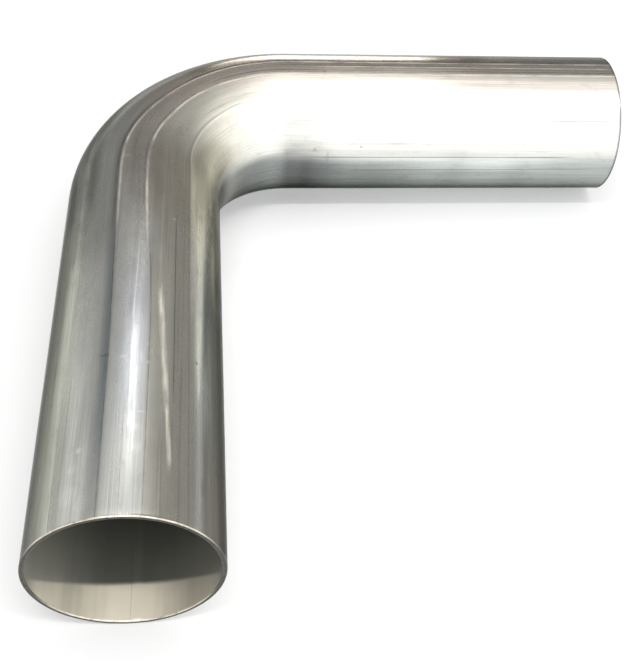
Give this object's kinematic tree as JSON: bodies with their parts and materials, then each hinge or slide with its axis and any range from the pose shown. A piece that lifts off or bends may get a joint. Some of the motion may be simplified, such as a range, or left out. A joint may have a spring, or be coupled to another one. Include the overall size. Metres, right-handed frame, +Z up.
{
  "type": "mandrel bend tube",
  "caption": "Round thin-walled steel tube with one smooth right-angle mandrel bend and plain square-cut ends.",
  "frame": {"origin": "centre of the near leg's mouth, on the tube's axis and in the plane of its square-cut end", "axes": "the near leg runs along +Y from the origin, the far leg runs out along +X, and +Z is up, square to the plane of the bend, with the tube lying on its side"},
  "size_m": [0.2482, 0.2652, 0.0632],
  "materials": {
    "steel": "bare mill-finish welded steel tube, satin, with faint lengthwise draw marks and die lines"
  },
  "bodies": {
    "root": {"bent_tube": "steel"}
  },
  "joints": []
}
